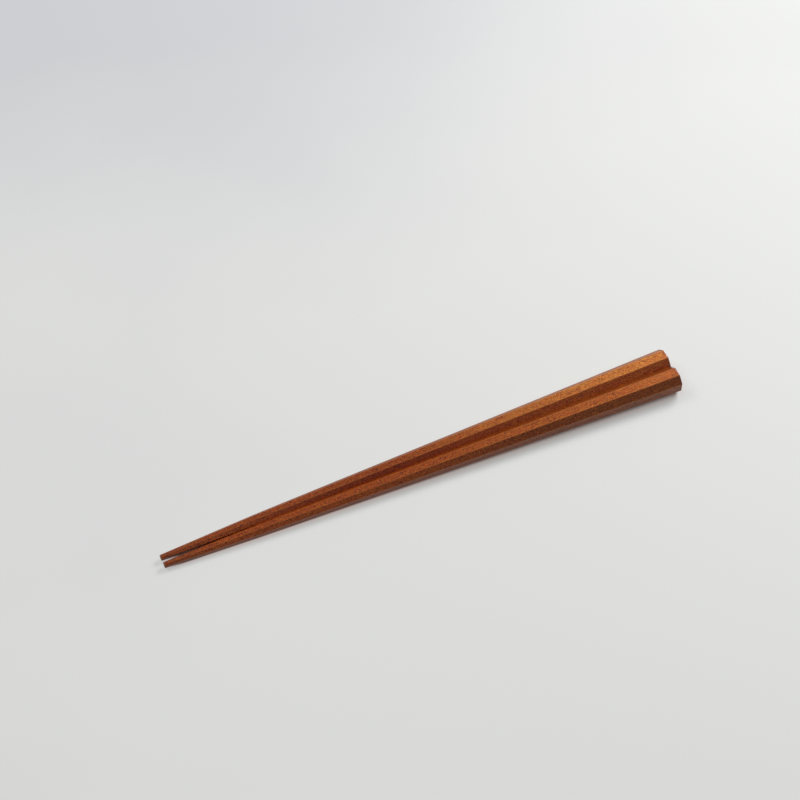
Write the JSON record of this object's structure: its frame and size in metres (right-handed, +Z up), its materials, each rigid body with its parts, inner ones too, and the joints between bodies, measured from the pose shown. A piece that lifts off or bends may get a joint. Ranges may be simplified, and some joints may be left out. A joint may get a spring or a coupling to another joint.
{
  "type": "pair of chopsticks",
  "caption": "Straight eight-sided wooden chopsticks with slim flat-cut tips, lying side by side on their facets.",
  "frame": {"origin": "centre of the pair's bounding box at its base, on the surface that the sticks lie on", "axes": "+X along the pair from the tips to the butts, +Y from the front stick to the rear stick, +Z up"},
  "size_m": [0.225, 0.02, 0.01],
  "materials": {
    "red_brown_wood": "satin clear coat over fine lengthwise grain with small dark flecks"
  },
  "bodies": {
    "root": {"front_chopstick": "red_brown_wood", "rear_chopstick": "red_brown_wood"}
  },
  "joints": []
}
